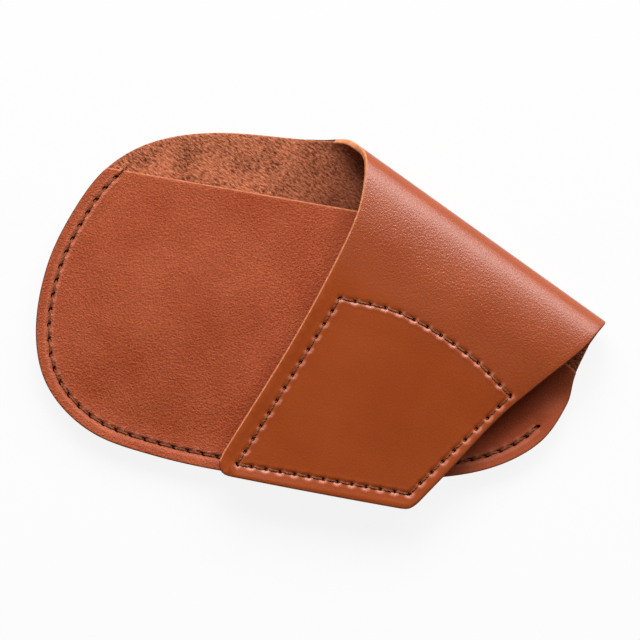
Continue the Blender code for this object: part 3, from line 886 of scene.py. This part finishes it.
mouth_last = len(back_edge) - 1 - np.argmax(back_edge[::-1, 1] < MOUTH_END[1])
pocket_edge = back_edge[mouth_first:mouth_last + 1]
mouth = np.vstack([MOUTH_END, MOUTH_BEND])
pocket_outline = even_path(closed_loop(np.vstack([pocket_edge, mouth])), EDGE_STEP)[:-1]
mouth_line = np.vstack([pocket_edge[-1:], mouth, pocket_edge[:1]])
mouth_cut = distance_to_path(pocket_outline, mouth_line) < EDGE_ROUND
pocket_grain = grain_leather("pocket_grain", POCKET_DYE, POCKET_PALE, POCKET_GRAIN_DEPTH,
                             POCKET_ROUGHNESS, POCKET_GLOSS)
pocket = leather_sheet("pocket_leather", pocket_outline, pocket_sewing, place_pocket, LEATHER,
                       pocket_relief, 1, pocket_grain_depth, mouth_cut)
mouth_edge = cut_edge("mouth_cut_edge", MOUTH_PALE, MOUTH_DARK)
for finish in (pocket_grain, tan_suede, mouth_edge, dark_cut):
    pocket.data.materials.append(finish)
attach(pocket, "pouch")
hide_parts("pocket_panel")


# Flap facing
# A thinner cut of leather under the flap's end, with its grain side down and its raw edge left pale.
# It is held by the flap's closed seam alone.
FACING_LEATHER = 0.9 * MM
FACING_MARGIN = 1.7 * MM
FACING_RELIEF = 0.5
FACING_GRAIN_DEPTH = 0.15 * MM
FACING_ROUGHNESS = 0.62
FACING_GLOSS = 0.22

facing_grain = grain_leather("facing_grain", TAN_DYE, TAN_PALE, FACING_GRAIN_DEPTH,
                             FACING_ROUGHNESS, FACING_GLOSS)
facing_sewing = flap_sewing._replace(lips=flap_holes[:0], ridges=())


def place_facing(pattern, inside):
    return bend(pattern, LEATHER / 2 + LAY_GAP + FACING_LEATHER / 2 + inside)


def facing_relief(pattern):
    return FACING_RELIEF * seam_relief(pattern, facing_sewing)


facing_outline = even_path(closed_loop(inset_path(flap_seam, FACING_MARGIN, True)), EDGE_STEP)[::-1][:-1]
facing_cut = np.full(len(facing_outline), True)
facing_sheet = leather_sheet("flap_facing_leather", facing_outline, facing_sewing, place_facing,
                             FACING_LEATHER, facing_relief, 1, smooth_grain, facing_cut)
for finish in (facing_grain, tan_suede, pale_cut, dark_cut):
    facing_sheet.data.materials.append(finish)
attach(facing_sheet, "flap")
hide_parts("flap_facing")


# Stitches
# Each seam is a machine lockstitch in waxed two-ply thread. The needle thread lies on the front
# between the holes, and the bobbin thread lies on the other side; both are drawn into the leather.
THREAD = 0.42 * MM
THREAD_SUNK = 0.32 * MM
STITCH_DIP = 0.9 * MM
STITCH_TWISTS = 2.0
STITCH_STEPS = 9
STITCH_SHARPNESS = 5.0
PLY_SIDES = 5
PLY_FULLNESS = 1.15
THREAD_BROWN = (0.18, 0.066, 0.028, 1)
THREAD_PALE = (0.30, 0.12, 0.058, 1)
WEAR_NOISE = (1800, 2.0)
WEAR_SPAN = (0.4, 0.7)
THREAD_ROUGHNESS = 0.75
THREAD_GLOSS = 0.15
MOUTH_RISE = 0.15 * MM
OVER_EDGE_DEPTH = 1.7


def waxed_thread(name, colour, pale):
    made, nodes, links, shader = new_finish(name)
    place = nodes.new("ShaderNodeTexCoord").outputs["Object"]
    worn = mapped(nodes, links, noise(nodes, links, place, *WEAR_NOISE), *WEAR_SPAN, 0.0, 1.0)
    links.new(mixed(nodes, links, worn, colour, pale), shader.inputs["Base Color"])
    shader.inputs["Roughness"].default_value = THREAD_ROUGHNESS
    shader.inputs["Specular IOR Level"].default_value = THREAD_GLOSS
    return made


def stitch_tree():
    """A node tree that lays a twisted two-ply stitch at each point, along its run."""
    tree = bpy.data.node_groups.new("stitch_row", "GeometryNodeTree")
    tree.interface.new_socket("Geometry", in_out="INPUT", socket_type="NodeSocketGeometry")
    for size in ("Length", "Thread", "Dip", "Twists"):
        tree.interface.new_socket(size, in_out="INPUT", socket_type="NodeSocketFloat")
    tree.interface.new_socket("Finish", in_out="INPUT", socket_type="NodeSocketMaterial")
    tree.interface.new_socket("Geometry", in_out="OUTPUT", socket_type="NodeSocketGeometry")
    nodes, links = tree.nodes, tree.links
    given = nodes.new("NodeGroupInput").outputs

    def number(operation, first, second=0.0):
        return arithmetic(nodes, links, operation, first, second)

    def vector(x, y, z):
        made = nodes.new("ShaderNodeCombineXYZ")
        for socket, value in zip(made.inputs, (x, y, z)):
            feed(links, value, socket)
        return made.outputs["Vector"]

    def named(name, kind):
        made = nodes.new("GeometryNodeInputNamedAttribute")
        made.data_type = kind
        made.inputs["Name"].default_value = name
        return made.outputs["Attribute"]

    half_length = number("MULTIPLY", given["Length"], 0.5)
    line = nodes.new("GeometryNodeCurvePrimitiveLine")
    links.new(vector(number("MULTIPLY", half_length, -1.0), 0.0, 0.0), line.inputs["Start"])
    links.new(vector(half_length, 0.0, 0.0), line.inputs["End"])
    steps = nodes.new("GeometryNodeResampleCurve")
    steps.inputs["Count"].default_value = STITCH_STEPS
    links.new(line.outputs["Curve"], steps.inputs["Curve"])
    share = nodes.new("GeometryNodeSplineParameter").outputs["Factor"]
    from_middle = number("ABSOLUTE", number("SUBTRACT", number("MULTIPLY", share, 2.0), 1.0))
    fall = number("POWER", from_middle, STITCH_SHARPNESS)
    sunk = number("MULTIPLY", number("MULTIPLY", fall, given["Dip"]), -1.0)
    quarter_thread = number("MULTIPLY", given["Thread"], 0.25)
    profile = nodes.new("GeometryNodeCurvePrimitiveCircle")
    profile.inputs["Resolution"].default_value = PLY_SIDES
    links.new(number("MULTIPLY", quarter_thread, PLY_FULLNESS), profile.inputs["Radius"])
    plies = nodes.new("GeometryNodeJoinGeometry")
    for phase in (0.0, math.pi):
        turns = number("MULTIPLY", share, given["Twists"])
        turn = number("ADD", number("MULTIPLY", turns, 2 * math.pi), phase)
        side = number("MULTIPLY", number("COSINE", turn), quarter_thread)
        rise = number("ADD", number("MULTIPLY", number("SINE", turn), quarter_thread), sunk)
        placed = nodes.new("GeometryNodeSetPosition")
        links.new(steps.outputs["Curve"], placed.inputs["Geometry"])
        links.new(vector(0.0, side, rise), placed.inputs["Offset"])
        ply = nodes.new("GeometryNodeCurveToMesh")
        ply.inputs["Fill Caps"].default_value = True
        links.new(placed.outputs["Geometry"], ply.inputs["Curve"])
        links.new(profile.outputs["Curve"], ply.inputs["Profile Curve"])
        links.new(ply.outputs["Mesh"], plies.inputs["Geometry"])
    along = nodes.new("FunctionNodeAlignRotationToVector")
    along.axis = "X"
    links.new(named("run", "FLOAT_VECTOR"), along.inputs["Vector"])
    upright = nodes.new("FunctionNodeAlignRotationToVector")
    upright.axis = "Z"
    upright.pivot_axis = "X"
    links.new(along.outputs["Rotation"], upright.inputs["Rotation"])
    links.new(named("up", "FLOAT_VECTOR"), upright.inputs["Vector"])
    row = nodes.new("GeometryNodeInstanceOnPoints")
    links.new(given["Geometry"], row.inputs["Points"])
    links.new(plies.outputs["Geometry"], row.inputs["Instance"])
    links.new(upright.outputs["Rotation"], row.inputs["Rotation"])
    links.new(vector(named("stretch", "FLOAT"), 1.0, named("depth", "FLOAT")), row.inputs["Scale"])
    real = nodes.new("GeometryNodeRealizeInstances")
    links.new(row.outputs["Instances"], real.inputs["Geometry"])
    smooth = nodes.new("GeometryNodeSetShadeSmooth")
    links.new(real.outputs["Geometry"], smooth.inputs["Geometry"])
    finish = nodes.new("GeometryNodeSetMaterial")
    links.new(smooth.outputs["Geometry"], finish.inputs["Geometry"])
    links.new(given["Finish"], finish.inputs["Material"])
    links.new(finish.outputs["Geometry"], nodes.new("NodeGroupOutput").inputs["Geometry"])
    return tree


def stitch_row(name, tree, holes, closed, on_leather, over_edge, finish):
    """The stitches of one thread, from hole to hole; on_leather(points, rise) is the skin they lie on.

    The first stitches, as many as over_edge says, go over an edge and down to the layer below.
    """
    ends = closed_loop(holes) if closed else holes
    skin = on_leather(ends, np.full(len(ends), THREAD / 2 - THREAD_SUNK))
    lifted = on_leather(ends, np.full(len(ends), MM))
    up = (lifted - skin)[:-1] + (lifted - skin)[1:]
    run = np.diff(skin, axis=0)
    length = np.linalg.norm(run, axis=1)
    mesh = bpy.data.meshes.new(name)
    mesh.from_pydata(((skin[1:] + skin[:-1]) / 2).tolist(), [], [])
    for label, values in (("run", run), ("up", up)):
        mesh.attributes.new(label, "FLOAT_VECTOR", "POINT").data.foreach_set("vector", values.ravel())
    depth = np.where(np.arange(len(run)) < over_edge, OVER_EDGE_DEPTH, 1.0)
    for label, values in (("stretch", length / length.mean()), ("depth", depth)):
        mesh.attributes.new(label, "FLOAT", "POINT").data.foreach_set("value", values)
    made = add_object(name, mesh)
    rows = made.modifiers.new("stitches", "NODES")
    rows.node_group = tree
    settings = {"Length": float(length.mean()), "Thread": THREAD, "Dip": STITCH_DIP,
                "Twists": STITCH_TWISTS, "Finish": finish}
    for socket in tree.interface.items_tree:
        if socket.in_out == "INPUT" and socket.name in settings:
            rows[socket.identifier] = settings[socket.name]
    bpy.context.view_layer.update()
    sewn = bpy.data.meshes.new_from_object(made.evaluated_get(bpy.context.evaluated_depsgraph_get()))
    made.modifiers.remove(rows)
    made.data = sewn
    return made


def on_pocket(plan, rise):
    """The pocket's grain, and a little above it past the mouth, where the first stitch rides over."""
    over_edge = np.where(plan[:, 1] > MOUTH_Y, MOUTH_RISE, 0)
    return place_pocket(plan, LEATHER / 2 + rise + over_edge)


def under_back(plan, rise):
    return place_back_and_flap(lower_pattern(plan), -LEATHER / 2 - rise)


def on_flap(pattern, rise):
    return bend(pattern, -LEATHER / 2 - rise)


def under_facing(pattern, rise):
    return bend(pattern, LEATHER / 2 + LAY_GAP + FACING_LEATHER + rise)


brown_thread = waxed_thread("brown_waxed_thread", THREAD_BROWN, THREAD_PALE)
stitches = stitch_tree()
over_mouth = 2 * pocket_holes[:1] - pocket_holes[1:2]
needle_holes = np.vstack([over_mouth, pocket_holes])
seam_threads = (("pocket_seam_needle", needle_holes, False, on_pocket, 1, "pouch"),
                ("pocket_seam_bobbin", pocket_holes, False, under_back, 0, "pouch"),
                ("flap_seam_needle", flap_holes, True, on_flap, 0, "flap"),
                ("flap_seam_bobbin", flap_holes, True, under_facing, 0, "flap"))
for seam, holes, closed, skin, over_edge, body in seam_threads:
    row = stitch_row(seam + "_stitches", stitches, holes, closed, skin, over_edge, brown_thread)
    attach(row, body)
    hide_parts(seam + "_thread")
